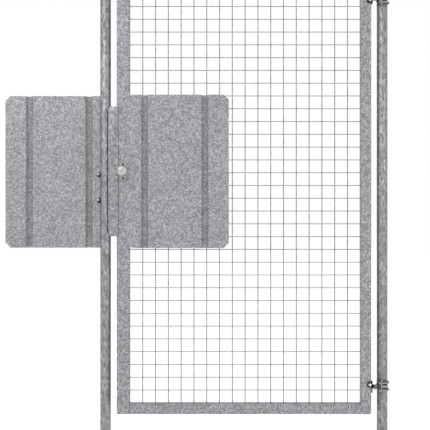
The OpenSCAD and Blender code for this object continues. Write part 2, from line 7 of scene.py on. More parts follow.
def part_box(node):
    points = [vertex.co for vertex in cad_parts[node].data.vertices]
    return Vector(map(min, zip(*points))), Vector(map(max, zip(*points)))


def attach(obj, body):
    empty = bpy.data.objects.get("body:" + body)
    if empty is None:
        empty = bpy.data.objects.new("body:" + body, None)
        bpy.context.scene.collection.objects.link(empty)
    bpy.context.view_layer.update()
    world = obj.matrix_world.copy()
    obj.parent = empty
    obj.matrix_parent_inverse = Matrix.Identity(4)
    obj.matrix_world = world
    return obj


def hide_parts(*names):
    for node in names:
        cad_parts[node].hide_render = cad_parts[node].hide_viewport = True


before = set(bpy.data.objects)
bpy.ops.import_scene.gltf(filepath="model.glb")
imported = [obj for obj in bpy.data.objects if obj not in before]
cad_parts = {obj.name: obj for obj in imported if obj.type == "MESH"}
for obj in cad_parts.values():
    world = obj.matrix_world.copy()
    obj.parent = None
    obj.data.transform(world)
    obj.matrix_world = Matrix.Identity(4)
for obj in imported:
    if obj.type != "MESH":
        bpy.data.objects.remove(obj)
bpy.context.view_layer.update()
MM = 0.001

# ---- Ground and studio -----------------------------------------------------------------------
# The gate stands on a plain pale floor in a white room. The room is one soft light all round,
# with a large lamp high on the left in front and a weak one on the right.
EYE = Vector((-0.653, -3.62, 0.9245))
LENS_MM = 77.55
FLOOR_SIDE = 40.0
FLOOR_GREY = 0.86
FLOOR_LIFT = 0.55
ROOM_LIGHT = 0.62

camera_data = bpy.data.cameras.new("camera")
camera_data.lens = LENS_MM
camera_data.sensor_width = 36.0
camera = bpy.data.objects.new("camera", camera_data)
camera.location = EYE
camera.rotation_euler = (math.radians(90), 0, 0)
bpy.context.scene.collection.objects.link(camera)
bpy.context.scene.camera = camera
bpy.context.scene.view_settings.view_transform = "Standard"


def seen_directly(nodes, links):
    """A socket that is 1 for rays from the eye, from a reflection or through glass, and 0 for others."""
    path = nodes.new("ShaderNodeLightPath")
    first = nodes.new("ShaderNodeMath")
    first.operation = "MAXIMUM"
    links.new(path.outputs["Is Camera Ray"], first.inputs[0])
    links.new(path.outputs["Is Glossy Ray"], first.inputs[1])
    both = nodes.new("ShaderNodeMath")
    both.operation = "MAXIMUM"
    links.new(first.outputs[0], both.inputs[0])
    links.new(path.outputs["Is Transmission Ray"], both.inputs[1])
    return both.outputs[0]


def white_room():
    world = bpy.data.worlds.new("white_room")
    bpy.context.scene.world = world
    world.use_nodes = True
    nodes, links = world.node_tree.nodes, world.node_tree.links
    back = nodes["Background"]
    back.inputs["Color"].default_value = (1, 1, 1, 1)
    level = nodes.new("ShaderNodeMapRange")
    level.inputs["To Min"].default_value = ROOM_LIGHT
    level.inputs["To Max"].default_value = 1.0
    links.new(seen_directly(nodes, links), level.inputs["Value"])
    links.new(level.outputs["Result"], back.inputs["Strength"])


def pale_floor():
    mesh = bpy.data.meshes.new("floor")
    half = FLOOR_SIDE / 2
    corners = [(-half, -half, 0), (half, -half, 0), (half, half, 0), (-half, half, 0)]
    mesh.from_pydata(corners, [], [(0, 1, 2, 3)])
    floor = bpy.data.objects.new("floor", mesh)
    bpy.context.scene.collection.objects.link(floor)
    material = bpy.data.materials.new("pale_floor")
    material.use_nodes = True
    nodes, links = material.node_tree.nodes, material.node_tree.links
    shader = nodes["Principled BSDF"]
    shader.inputs["Base Color"].default_value = (FLOOR_GREY, FLOOR_GREY, FLOOR_GREY, 1)
    shader.inputs["Roughness"].default_value = 0.9
    shader.inputs["Specular IOR Level"].default_value = 0.0
    shader.inputs["Emission Color"].default_value = (1, 1, 1, 1)
    lift = nodes.new("ShaderNodeMath")
    lift.operation = "MULTIPLY"
    lift.inputs[1].default_value = FLOOR_LIFT
    links.new(seen_directly(nodes, links), lift.inputs[0])
    links.new(lift.outputs[0], shader.inputs["Emission Strength"])
    mesh.materials.append(material)


def lamp(name, place, aim, width, height, watts):
    data = bpy.data.lights.new(name, "AREA")
    data.shape = "RECTANGLE"
    data.size, data.size_y, data.energy = width, height, watts
    light = bpy.data.objects.new(name, data)
    light.location = place
    light.rotation_euler = (Vector(aim) - Vector(place)).to_track_quat("-Z", "Y").to_euler()
    bpy.context.scene.collection.objects.link(light)


white_room()
pale_floor()
lamp("key_lamp", (-3.2, -4.2, 4.2), (-0.6, 0, 1.0), 3.6, 3.6, 85)
lamp("fill_lamp", (2.6, -3.6, 2.2), (-0.5, 0, 1.0), 2.0, 2.6, 30)

# ---- Posts -----------------------------------------------------------------------------------
# Two lengths of round steel tube, galvanised after cutting, so that the zinc wraps the open foot.
# The zinc has frozen in small crystals that run down the tube in faint streaks.
TUBE_FLATS = 96
LIP = 0.5 * MM
ZINC_DARK = (0.185, 0.186, 0.196)
ZINC_MID = (0.302, 0.306, 0.322)
ZINC_LIGHT = (0.500, 0.506, 0.526)
ZINC_METALLIC = 0.75
# Painted shade colours: one for the posts' sides, and a dark one under the clamps and nuts and round the
# dome.
POST_SIDE_SHADE = (0.80, 0.80, 0.81)
SIDE_STARTS, SIDE_FULL = 5 * MM, 1 * MM
UNDER_SHADE = (0.10, 0.10, 0.11)
UNDER_CLAMP, PAST_CLAMP = 11 * MM, 14 * MM
TUBE_WALL = 2 * MM


def finish_mesh(bm, name, sharp_deg=35):
    """Turns a bmesh into a linked object with smooth faces and sharp edges above the angle."""
    bmesh.ops.recalc_face_normals(bm, faces=bm.faces)
    limit = math.radians(sharp_deg)
    for face in bm.faces:
        face.smooth = True
    for edge in bm.edges:
        edge.smooth = len(edge.link_faces) == 2 and edge.calc_face_angle(0.0) < limit
    mesh = bpy.data.meshes.new(name)
    bm.to_mesh(mesh)
    bm.free()
    thing = bpy.data.objects.new(name, mesh)
    bpy.context.scene.collection.objects.link(thing)
    return thing


def fit_out(thing, finish, body, slot, *replaced):
    """Gives a piece its material, the body it rides on and the nodes that it stands for. slot is not used.
    """
    thing.data.materials.clear()
    thing.data.materials.append(finish)
    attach(thing, body)
    if replaced:
        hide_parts(*replaced)


def turned(name, profile, place, axis=(0, 0, 1), flats=TUBE_FLATS, closed=False, sharp_deg=35):
    """A turned piece: profile is (radius, height) pairs, spun about an axis through place."""
    bm = bmesh.new()
    turn = Vector((0, 0, 1)).rotation_difference(Vector(axis)).to_matrix().to_4x4()
    turn = Matrix.Translation(place) @ turn
    rings = []
    for radius, height in profile:
        if radius < 1e-7:
            rings.append([bm.verts.new(turn @ Vector((0, 0, height)))])
            continue
        steps = [2 * math.pi * i / flats for i in range(flats)]
        rings.append([
            bm.verts.new(turn @ Vector((radius * math.cos(a), radius * math.sin(a), height)))
            for a in steps
        ])
    pairs = list(zip(rings, rings[1:] + rings[:1])) if closed else list(zip(rings, rings[1:]))
    for low, high in pairs:
        for i in range(flats):
            j = (i + 1) % flats
            if len(low) == 1 and len(high) == 1:
                continue
            if len(low) == 1:
                bm.faces.new((low[0], high[i], high[j]))
            elif len(high) == 1:
                bm.faces.new((low[i], low[j], high[0]))
            else:
                bm.faces.new((low[i], low[j], high[j], high[i]))
    return finish_mesh(bm, name, sharp_deg)


def zinc_finish(name, streak=1.0, grain=1.0, tint=1.0, clouds=0.16):
    """Dull galvanised zinc: two sizes of crystal, cloudy patches, and a slight relief between crystals.
    streak under 1 draws the crystals out along Z, and grain over 1 makes them smaller."""
    material = bpy.data.materials.new(name)
    material.use_nodes = True
    nodes, links = material.node_tree.nodes, material.node_tree.links
    shader = nodes["Principled BSDF"]
    shader.inputs["Metallic"].default_value = ZINC_METALLIC
    place = nodes.new("ShaderNodeTexCoord")
    stretch = nodes.new("ShaderNodeMapping")
    stretch.inputs["Scale"].default_value = (1, 1, streak)
    links.new(place.outputs["Object"], stretch.inputs["Vector"])

    def crystals(scale):
        cells = nodes.new("ShaderNodeTexVoronoi")
        cells.inputs["Scale"].default_value = scale
        cells.inputs["Randomness"].default_value = 1.0
        links.new(stretch.outputs["Vector"], cells.inputs["Vector"])
        split = nodes.new("ShaderNodeSeparateColor")
        links.new(cells.outputs["Color"], split.inputs["Color"])
        return split

    def cloud(scale, detail, source):
        noise = nodes.new("ShaderNodeTexNoise")
        noise.inputs["Scale"].default_value = scale
        noise.inputs["Detail"].default_value = detail
        links.new(source, noise.inputs["Vector"])
        return noise.outputs["Fac"]

    def blend(a, b, share):
        mix = nodes.new("ShaderNodeMix")
        mix.inputs["Factor"].default_value = share
        links.new(a, mix.inputs["A"])
        links.new(b, mix.inputs["B"])
        return mix.outputs["Result"]

    large = crystals(150 * grain)
    small = crystals(330 * grain)
    speckle = blend(large.outputs["Red"], small.outputs["Red"], 0.35)
    patches = cloud(14, 3.0, stretch.outputs["Vector"])
    tone = blend(speckle, patches, clouds)
    ramp = nodes.new("ShaderNodeValToRGB")
    ramp.color_ramp.elements[0].position = 0.14
    ramp.color_ramp.elements[0].color = (*[c * tint for c in ZINC_DARK], 1)
    ramp.color_ramp.elements[1].position = 0.88
    ramp.color_ramp.elements[1].color = (*[c * tint for c in ZINC_LIGHT], 1)
    middle = ramp.color_ramp.elements.new(0.5)
    middle.color = (*[c * tint for c in ZINC_MID], 1)
    links.new(tone, ramp.inputs["Fac"])
    links.new(ramp.outputs["Color"], shader.inputs["Base Color"])
    rough = nodes.new("ShaderNodeMapRange")
    rough.inputs["To Min"].default_value = 0.36
    rough.inputs["To Max"].default_value = 0.58
    links.new(large.outputs["Green"], rough.inputs["Value"])
    links.new(rough.outputs["Result"], shader.inputs["Roughness"])
    relief = nodes.new("ShaderNodeBump")
    relief.inputs["Strength"].default_value = 0.35
    relief.inputs["Distance"].default_value = 0.25 * MM
    links.new(blend(speckle, cloud(55, 2.0, place.outputs["Object"]), 0.6), relief.inputs["Height"])
    links.new(relief.outputs["Normal"], shader.inputs["Normal"])
    return material


def shade_near(material, axis, centre, full, faded, colour, inward=True):
    """Paints shade, or light, into a finish by multiplying it by a colour, by distance from a place along
    one axis of the gate: in full within the first distance and not at all past the second, or the other way
    round."""
    nodes, links = material.node_tree.nodes, material.node_tree.links
    shader = nodes["Principled BSDF"]
    under = shader.inputs["Base Color"].links[0].from_socket
    place = nodes.new("ShaderNodeTexCoord")
    parts = nodes.new("ShaderNodeSeparateXYZ")
    links.new(place.outputs["Object"], parts.inputs["Vector"])
    offset = nodes.new("ShaderNodeMath")
    offset.operation = "SUBTRACT"
    offset.inputs[1].default_value = centre
    links.new(parts.outputs[axis], offset.inputs[0])
    distance = nodes.new("ShaderNodeMath")
    distance.operation = "ABSOLUTE"
    links.new(offset.outputs[0], distance.inputs[0])
    share = nodes.new("ShaderNodeMapRange")
    share.interpolation_type = "SMOOTHSTEP"
    share.inputs["From Min"].default_value = full
    share.inputs["From Max"].default_value = faded
    share.inputs["To Min"].default_value = 1.0 if inward else 0.0
    share.inputs["To Max"].default_value = 0.0 if inward else 1.0
    links.new(distance.outputs[0], share.inputs["Value"])
    over = nodes.new("ShaderNodeMix")
    over.data_type = "RGBA"
    over.blend_type = "MULTIPLY"
    # Colour sockets go by number: 0 is the share, 6 and 7 are the two colours, output 2 is the result.
    over.inputs[7].default_value = (*colour, 1)
    links.new(share.outputs["Result"], over.inputs[0])
    links.new(under, over.inputs[6])
    links.new(over.outputs[2], shader.inputs["Base Color"])


post_low, post_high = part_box("hinge_post")
latch_low, latch_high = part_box("latch_post")
POST_R = (post_high.x - post_low.x) / 2
POST_BORE_R = POST_R - TUBE_WALL
LATCH_X = (latch_low.x + latch_high.x) / 2
POST_TOP = post_high.z

# Painted shade: the sides are a little darker than the front, and a dark painted shadow lies under the
# clamps.
hinge_post_zinc = zinc_finish("hinge_post_zinc", streak=0.4, grain=1.1, tint=0.88)
latch_post_zinc = zinc_finish("latch_post_zinc", streak=0.4, grain=1.1, tint=0.92)
for side_zinc, centre in ((hinge_post_zinc, 0.0), (latch_post_zinc, LATCH_X)):
    shade_near(side_zinc, "X", centre, POST_R - SIDE_STARTS, POST_R - SIDE_FULL, POST_SIDE_SHADE, inward=False)
for clamp_node in ("lower_clamp_rods", "upper_clamp_rods"):
    clamp_low, clamp_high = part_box(clamp_node)
    clamp_z = (clamp_low.z + clamp_high.z) / 2
    shade_near(hinge_post_zinc, "Z", clamp_z, UNDER_CLAMP, PAST_CLAMP, UNDER_SHADE)


def post(name, x, node, finish):
    wall = [
        (POST_BORE_R, LIP), (POST_BORE_R + LIP, 0), (POST_R - LIP, 0), (POST_R, LIP),
        (POST_R, POST_TOP - LIP), (POST_R - LIP, POST_TOP), (POST_BORE_R + LIP, POST_TOP),
        (POST_BORE_R, POST_TOP - LIP),
    ]
    thing = turned(name, wall, (x, 0, 0), closed=True, sharp_deg=50)
    fit_out(thing, finish, "posts", "galvanised_steel", node)


post("hinge_post_tube", 0.0, "hinge_post", hinge_post_zinc)
post("latch_post_tube", LATCH_X, "latch_post", latch_post_zinc)

# ---- Post caps -------------------------------------------------------------------------------
# A shallow cap with a hollow spigot, pressed from steel and galvanised. One is tapped into the
# top of each tube and stays there by its fit.
cap_zinc = zinc_finish("cap_zinc", grain=1.1)
cap_low, cap_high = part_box("hinge_post_cap")


def post_cap(name, x, node):
    top = cap_high.z
    spigot_r, spigot_wall = POST_BORE_R - 0.25 * MM, 1.5 * MM
    inner_r = spigot_r - spigot_wall
    bend, seat = 1.6 * MM, 0.05 * MM
    edge = [
        (POST_R - bend * (1 - math.cos(a)), POST_TOP + 0.9 * MM + bend * math.sin(a))
        for a in [math.radians(t) for t in range(0, 76, 15)]
    ]
    profile = [
        (0, POST_TOP), (inner_r, POST_TOP - 0.2 * MM), (inner_r, cap_low.z + LIP),
        (spigot_r - spigot_wall / 2, cap_low.z), (spigot_r, cap_low.z + LIP),
        (spigot_r, POST_TOP + seat), (POST_R - LIP, POST_TOP + seat), (POST_R, POST_TOP + LIP),
        *edge, (POST_R * 0.55, top - 0.1 * MM), (0, top),
    ]
    thing = turned(name, profile, (x, 0, 0))
    fit_out(thing, cap_zinc, "posts", "galvanised_steel", node)


post_cap("hinge_post_top", 0.0, "hinge_post_cap")
post_cap("latch_post_top", LATCH_X, "latch_post_cap")

# ---- Leaf frame ------------------------------------------------------------------------------
# Rectangular steel tube with rounded corners, cut, plated at the ends, welded and then dipped.
# The stiles run the full height, and the two rails are welded between them.
CORNER_R = 3.2 * MM
END_SOFTNESS = 0.8 * MM
# Painted shade on the faces that look in at the mesh.
INNER_SHADE = (0.82, 0.82, 0.83)
INNER_FULL, INNER_FADED = 0.5 * MM, 1.6 * MM
frame_zinc = zinc_finish("frame_zinc", streak=0.8, grain=1.3, tint=0.96, clouds=0.12)
rail_zinc = zinc_finish("rail_zinc", streak=1.0, grain=1.3, tint=0.96)


def rounded_outline(x0, x1, y0, y1, radius, steps=5):
    """Corner-rounded rectangle as points anticlockwise from the lower right corner."""
    centres = [(x1 - radius, y0 + radius, -90), (x1 - radius, y1 - radius, 0),
               (x0 + radius, y1 - radius, 90), (x0 + radius, y0 + radius, 180)]
    points = []
    for cx, cy, start in centres:
        for i in range(steps + 1):
            a = math.radians(start + 90 * i / steps)
            points.append((cx + radius * math.cos(a), cy + radius * math.sin(a)))
    return points


def flat_sides(thing):
    """Shades the faces that lie square to an axis flat, so that rounded corners don't tint them."""
    for side in thing.data.polygons:
        if max(abs(c) for c in side.normal) > 0.9999:
            side.use_smooth = False


def bar(name, outline, low, high, softness=0.0, along="Z"):
    """Solid bar of an outline, from low to high along Z or X, its two ends slightly rounded."""
    bm = bmesh.new()
    cx = sum(p[0] for p in outline) / len(outline)
    cy = sum(p[1] for p in outline) / len(outline)
    levels = [(low, softness), (low + softness, 0), (high - softness, 0), (high, softness)]
    if softness == 0:
        levels = [(low, 0), (high, 0)]
    rings = []
    for height, inset in levels:
        ring = []
        for x, y in outline:
            px = x - math.copysign(min(inset, abs(x - cx)), x - cx)
            py = y - math.copysign(min(inset, abs(y - cy)), y - cy)
            spot = (px, py, height) if along == "Z" else (height, px, py)
            ring.append(bm.verts.new(spot))
        rings.append(ring)
    n = len(outline)
    for low_ring, high_ring in zip(rings, rings[1:]):
        for i in range(n):
            j = (i + 1) % n
            bm.faces.new((low_ring[i], low_ring[j], high_ring[j], high_ring[i]))
    bm.faces.new(rings[0])
    bm.faces.new(rings[-1])
    return finish_mesh(bm, name, 40)


def cut_out(thing, *tools):
    """Cuts the tools out of a piece and throws the tools away."""
    for tool in tools:
        modifier = thing.modifiers.new("cut", "BOOLEAN")
        modifier.operation = "DIFFERENCE"
        modifier.solver = "EXACT"
        modifier.object = tool
        bpy.context.view_layer.update()
        shaped = bpy.data.meshes.new_from_object(thing.evaluated_get(bpy.context.evaluated_depsgraph_get()))
        thing.modifiers.clear()
        thing.data = shaped
        bpy.data.objects.remove(tool)


stile_low, stile_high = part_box("lock_stile")
hinge_low, hinge_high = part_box("hinge_stile")
FRONT, BACK = stile_low.y, stile_high.y
# Painted shade: the faces that look in at the mesh are darker than the fronts.
shade_near(frame_zinc, "X", stile_high.x, INNER_FULL, INNER_FADED, INNER_SHADE)
shade_near(frame_zinc, "X", hinge_low.x, INNER_FULL, INNER_FADED, INNER_SHADE)
shade_near(rail_zinc, "Z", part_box("bottom_rail")[1].z, INNER_FULL, INNER_FADED, INNER_SHADE)
shade_near(rail_zinc, "Z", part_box("top_rail")[0].z, INNER_FULL, INNER_FADED, INNER_SHADE)
knob_low, knob_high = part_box("outer_knob")
LOCK_X = (knob_low.x + knob_high.x) / 2
LOCK_Z = (knob_low.z + knob_high.z) / 2
forend_low, forend_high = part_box("lock_case")
KEEP_Z = (forend_low.z + forend_high.z) / 2
KNOB_TO_KEY = 92 * MM
CYLINDER_Z = LOCK_Z - KNOB_TO_KEY
CYLINDER_R = 8.5 * MM
CYLINDER_H = 33 * MM
TAIL_R = 5.0 * MM
TAIL_DROP = CYLINDER_H - CYLINDER_R - TAIL_R
NECK_R = 9.0 * MM
HOLE_GAP = 0.25 * MM
FOREND_GAP = 0.3 * MM


def cylinder_outline(grow):
    """Outline in X and Z of the key cylinder, grown on every side."""
    r, tail = CYLINDER_R + grow, TAIL_R + grow
    join = math.degrees(math.asin(tail / r))
    points = []
    for i in range(33):
        a = math.radians(-90 + join + (360 - 2 * join) * i / 32)
        points.append((LOCK_X + r * math.cos(a), CYLINDER_Z + r * math.sin(a)))
    for i in range(13):
        a = math.radians(180 + 180 * i / 12)
        points.append((LOCK_X + tail * math.cos(a), CYLINDER_Z - TAIL_DROP + tail * math.sin(a)))
    return points


def slab_y(name, outline, y0, y1, sharp_deg=40):
    """Flat piece of an outline in X and Z, from y0 to y1."""
    bm = bmesh.new()
    front = [bm.verts.new((x, y0, z)) for x, z in outline]
    back = [bm.verts.new((x, y1, z)) for x, z in outline]
    n = len(outline)
    for i in range(n):
        j = (i + 1) % n
        bm.faces.new((front[i], front[j], back[j], back[i]))
    bm.faces.new(front)
    bm.faces.new(back)
    return finish_mesh(bm, name, sharp_deg)


def lock_stile():
    outline = rounded_outline(stile_low.x, stile_high.x, FRONT, BACK, CORNER_R)
    stile = bar("lock_stile_tube", outline, stile_low.z, stile_high.z, END_SOFTNESS)
    depth = 2 * (BACK - FRONT)
    neck_hole = [(0, 0), (NECK_R + HOLE_GAP, 0), (NECK_R + HOLE_GAP, depth), (0, depth)]
    neck = turned("neck_cutter", neck_hole, (LOCK_X, -depth / 2, LOCK_Z), axis=(0, 1, 0), flats=48)
    key = slab_y("key_cutter", cylinder_outline(HOLE_GAP), -depth / 2, depth / 2)
    slot_outline = rounded_outline(forend_low.x - 5 * MM, forend_high.x + 1 * MM,
                                   forend_low.y - FOREND_GAP, forend_high.y + FOREND_GAP, 0.4 * MM)
    slot = bar("forend_cutter", slot_outline, forend_low.z - FOREND_GAP, forend_high.z + FOREND_GAP)
    cut_out(stile, neck, key, slot)
    flat_sides(stile)
    fit_out(stile, frame_zinc, "leaf", "galvanised_steel", "lock_stile")


lock_stile()
bolt_low, bolt_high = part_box("lower_strap_bolt")
bolt_top_low, bolt_top_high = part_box("upper_strap_bolt")
STRAP_BOLT_X = (bolt_low.x + bolt_high.x) / 2
STRAP_BOLT_ZS = [(bolt_low.z + bolt_high.z) / 2, (bolt_top_low.z + bolt_top_high.z) / 2]
BOLT_HOLE_R = 4.2 * MM


def hinge_stile():
    outline = rounded_outline(hinge_low.x, hinge_high.x, FRONT, BACK, CORNER_R)
    stile = bar("hinge_stile_tube", outline, hinge_low.z, hinge_high.z, END_SOFTNESS)
    depth = 2 * (BACK - FRONT)
    for z in STRAP_BOLT_ZS:
        bolt_hole = [(0, 0), (BOLT_HOLE_R, 0), (BOLT_HOLE_R, depth), (0, depth)]
        cutter = turned("bolt_cutter", bolt_hole, (STRAP_BOLT_X, -depth / 2, z), axis=(0, 1, 0), flats=32)
        cut_out(stile, cutter)
    flat_sides(stile)
    fit_out(stile, frame_zinc, "leaf", "galvanised_steel", "hinge_stile")


hinge_stile()
for rail_node in ("top_rail", "bottom_rail"):
    rail_low, rail_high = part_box(rail_node)
    rail_outline = rounded_outline(rail_low.y, rail_high.y, rail_low.z, rail_high.z, CORNER_R)
    rail = bar(rail_node + "_tube", rail_outline, rail_low.x, rail_high.x, along="X")
    flat_sides(rail)
    fit_out(rail, rail_zinc, "leaf", "galvanised_steel", rail_node)

# ---- Mesh ------------------------------------------------------------------------------------
# Welded mesh of drawn wire, 50 mm square. The uprights stand in front, the cross wires behind,
# and each crossing is a small squashed resistance weld under the zinc.
UPRIGHT_R = 2.0 * MM
CROSS_R = 1.6 * MM
PITCH = 50 * MM
WIRE_SIDES = 12
WELD_SWELL = (2.9, 1.9, 2.5)
wire_zinc = zinc_finish("wire_zinc", streak=0.3, grain=2.2, tint=0.92)


def wire(bm, start, end, radius):
    """Straight round wire between two points, closed at both ends."""
    axis = (end - start).normalized()
    side = axis.orthogonal().normalized()
    other = axis.cross(side)
    rings = []
    for spot in (start, end):
        rings.append([
            bm.verts.new(spot + radius * (math.cos(a) * side + math.sin(a) * other))
            for a in [2 * math.pi * i / WIRE_SIDES for i in range(WIRE_SIDES)]
        ])
    for i in range(WIRE_SIDES):
        j = (i + 1) % WIRE_SIDES
        bm.faces.new((rings[0][i], rings[0][j], rings[1][j], rings[1][i]))
    bm.faces.new(rings[0])
    bm.faces.new(rings[1])


def welded_mesh():
    left, right = stile_high.x, hinge_low.x
    low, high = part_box("mesh_lower")[0].z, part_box("mesh_upper")[1].z
    uprights = [left + PITCH * (i + 1) for i in range(round((right - left) / PITCH) - 1)]
    crosses = [low + PITCH * (i + 1) for i in range(round((high - low) / PITCH) - 1)]
    upright_y, cross_y = 0.0, UPRIGHT_R + CROSS_R - 0.7 * MM
    bm = bmesh.new()
    for x in uprights:
        wire(bm, Vector((x, upright_y, low)), Vector((x, upright_y, high)), UPRIGHT_R)
    for z in crosses:
        wire(bm, Vector((left, cross_y, z)), Vector((right, cross_y, z)), CROSS_R)
    wires = finish_mesh(bm, "mesh_wires", 50)
    fit_out(wires, wire_zinc, "leaf", "galvanised_wire", "mesh_lower", "mesh_middle", "mesh_upper")
    bm = bmesh.new()
    for x in uprights:
        for z in crosses:
            middle = (x, (upright_y + cross_y) / 2, z)
            swell = Matrix.Translation(middle) @ Matrix.Diagonal((*WELD_SWELL, 1))
            bmesh.ops.create_icosphere(bm, subdivisions=1, radius=MM, matrix=swell)
    welds = finish_mesh(bm, "mesh_welds", 80)
    fit_out(welds, wire_zinc, "leaf", "galvanised_wire")


welded_mesh()

# ---- Guard plates ----------------------------------------------------------------------------
# Two sheets that keep a hand from reaching the lock, each stiffened by two pressed channels and
# galvanised in the flat, so that the zinc shows its crystals. One is welded to the latch post,
# the other laps the lock stile and rests on the mesh with its channels.
SHEET_T = 2 * MM
CORNER_CUT = 20 * MM
RIB_MOUTH, RIB_FLOOR = 27 * MM, 17 * MM
RIB_POST_INSET, RIB_FREE_INSET = 68 * MM, 93 * MM
BEND_R = 2.2 * MM
# Painted shade for the channel floors, and painted light for their walls.
RIB_SHADE = (0.81, 0.81, 0.765)
WALL_PAINTED_LIGHT = (2.0, 2.0, 1.92)
WALL_MIDDLE, WALL_FULL, WALL_FADED = 9.5 * MM, 5.5 * MM, 8.5 * MM
FLOOR_FADED, FLOOR_FULL = 10 * MM, 16 * MM
PLATES = (("post", "post_guard_plate", -1, "posts"), ("leaf", "leaf_guard_plate", 1, "leaf"))


def fillet(points, radius, steps=4):
    """Open line with each inner corner rounded to the radius."""
    out = [points[0]]
    for before, corner, after in zip(points, points[1:], points[2:]):
        a, b = (before - corner).normalized(), (after - corner).normalized()
        half = a.angle(b) / 2
        back_off = radius / math.tan(half)
        centre = corner + (a + b).normalized() * (radius / math.sin(half))
        start, end = corner + a * back_off - centre, corner + b * back_off - centre
        sweep = start.angle_signed(end)
        for i in range(steps + 1):
            turn = Matrix.Rotation(-sweep * i / steps, 2)
            out.append(centre + turn @ start)
    out.append(points[-1])
    return out


def guard_plate(name, node, outward, finish, body):
    """outward is +1 where the free edge lies towards +X from the post side, and -1 towards -X."""
    low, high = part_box(node)
    width, depth = high.x - low.x, high.y - low.y - SHEET_T
    post_edge = low.x if outward > 0 else high.x
    line = [Vector((0, 0)), Vector((CORNER_CUT, 0))]
    channel = [(-RIB_MOUTH / 2, 0), (-RIB_FLOOR / 2, depth), (RIB_FLOOR / 2, depth), (RIB_MOUTH / 2, 0)]
    for centre in (RIB_POST_INSET, width - RIB_FREE_INSET):
        line += [Vector((centre + offset, level)) for offset, level in channel]
    line += [Vector((width - CORNER_CUT, 0)), Vector((width, 0))]
    bends = fillet(line[1:-1], BEND_R)
    middle = [line[0]] + bends + [line[-1]]
    bm = bmesh.new()
    columns = []
    for i, spot in enumerate(middle):
        ahead = middle[min(i + 1, len(middle) - 1)] - middle[max(i - 1, 0)]
        normal = Vector((-ahead.y, ahead.x)).normalized()
        reach = min(spot.x, width - spot.x)
        cut = max(0.0, CORNER_CUT - reach)
        column = []
        for layer in (0.0, SHEET_T):
            x = post_edge + outward * (spot.x + normal.x * layer)
            y = low.y + spot.y + normal.y * layer
            column.append([bm.verts.new((x, y, z)) for z in (low.z + cut, high.z - cut)])
        columns.append(column)
    for left, right in zip(columns, columns[1:]):
        for layer in (0, 1):
            bm.faces.new((left[layer][0], right[layer][0], right[layer][1], left[layer][1]))
        for end in (0, 1):
            bm.faces.new((left[0][end], right[0][end], right[1][end], left[1][end]))
    for column in (columns[0], columns[-1]):
        bm.faces.new((column[0][0], column[0][1], column[1][1], column[1][0]))
    plate = finish_mesh(bm, name, 50)
    flat_sides(plate)
    fit_out(plate, finish, body, "galvanised_steel", node)


# Painted shade makes the floor of a channel a darker, greener grey than the flat sheet, and painted light
# makes its walls lighter.
for sheet, node, outward, body in PLATES:
    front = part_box(node)[0].y
    sheet_zinc = zinc_finish(sheet + "_plate_zinc", streak=1.0, grain=1.35)
    shade_near(sheet_zinc, "Y", front + WALL_MIDDLE, WALL_FULL, WALL_FADED, WALL_PAINTED_LIGHT)
    shade_near(sheet_zinc, "Y", front, FLOOR_FADED, FLOOR_FULL, RIB_SHADE, inward=False)
    guard_plate(sheet + "_plate_sheet", node, outward, sheet_zinc, body)

# ---- Stop strip ------------------------------------------------------------------------------
# Flat steel strip with two cut corners, welded to the front of the lock stile. It closes the gap
# and stops the leaf against the latch post.
strip_low, strip_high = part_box("stop_strip")
STRIP_CORNER = (10 * MM, 13 * MM)
# Painted shadow: dark along the strip's edge by the post, and less dark along its edge on the stile.
SHADOW_AT_POST_EDGE = (0.17, 0.17, 0.19)
SHADE_AT_STILE_EDGE = (0.5, 0.5, 0.52)
strip_zinc = zinc_finish("strip_zinc", streak=0.8, grain=1.3, tint=0.92)
shade_near(strip_zinc, "X", strip_low.x, 2.0 * MM, 4.0 * MM, SHADOW_AT_POST_EDGE)
shade_near(strip_zinc, "X", strip_high.x, 1.0 * MM, 3.0 * MM, SHADE_AT_STILE_EDGE)


def stop_strip():
    cx, cz = STRIP_CORNER
    x0, x1, z0, z1 = strip_low.x, strip_high.x, strip_low.z, strip_high.z
    outline = [(x0, z0 + cz), (x0 + cx, z0), (x1, z0), (x1, z1), (x0 + cx, z1), (x0, z1 - cz)]
    strip = slab_y("stop_strip_flat", outline, strip_low.y, strip_high.y)
    soften(strip, 0.5 * MM)
    fit_out(strip, strip_zinc, "leaf", "galvanised_steel", "stop_strip")


def soften(thing, width, segments=2, angle=30):
    """Rounds every sharp edge of a piece a little."""
    modifier = thing.modifiers.new("soften", "BEVEL")
    modifier.width = width
    modifier.segments = segments
    modifier.limit_method = "ANGLE"
    modifier.angle_limit = math.radians(angle)
    modifier.harden_normals = False
    bpy.context.view_layer.update()
    shaped = bpy.data.meshes.new_from_object(thing.evaluated_get(bpy.context.evaluated_depsgraph_get()))
    thing.modifiers.clear()
    thing.data = shaped
    bm = bmesh.new()
    bm.from_mesh(shaped)
    for face in bm.faces:
        face.smooth = True
    for edge in bm.edges:
        edge.smooth = len(edge.link_faces) == 2 and edge.calc_face_angle(0.0) < math.radians(35)
    bm.to_mesh(shaped)
    bm.free()


stop_strip()

# ---- Keep ------------------------------------------------------------------------------------
# Folded steel keep, shaped to the tube, with a slot for each lock bolt. Two long bolts clamp it
# to the latch post, each with a cap nut and a washer on the far side.


def softened_copy(name, node, width, flat_deg=1.0):
    """Copy of a construction piece with its flat faces made whole and its edges rounded."""
    bm = bmesh.new()
    bm.from_mesh(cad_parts[node].data)
    bmesh.ops.remove_doubles(bm, verts=bm.verts, dist=0.002 * MM)
    bmesh.ops.dissolve_limit(bm, angle_limit=math.radians(flat_deg), verts=bm.verts, edges=bm.edges)
    copy = finish_mesh(bm, name)
    if width:
        soften(copy, width)
    return copy


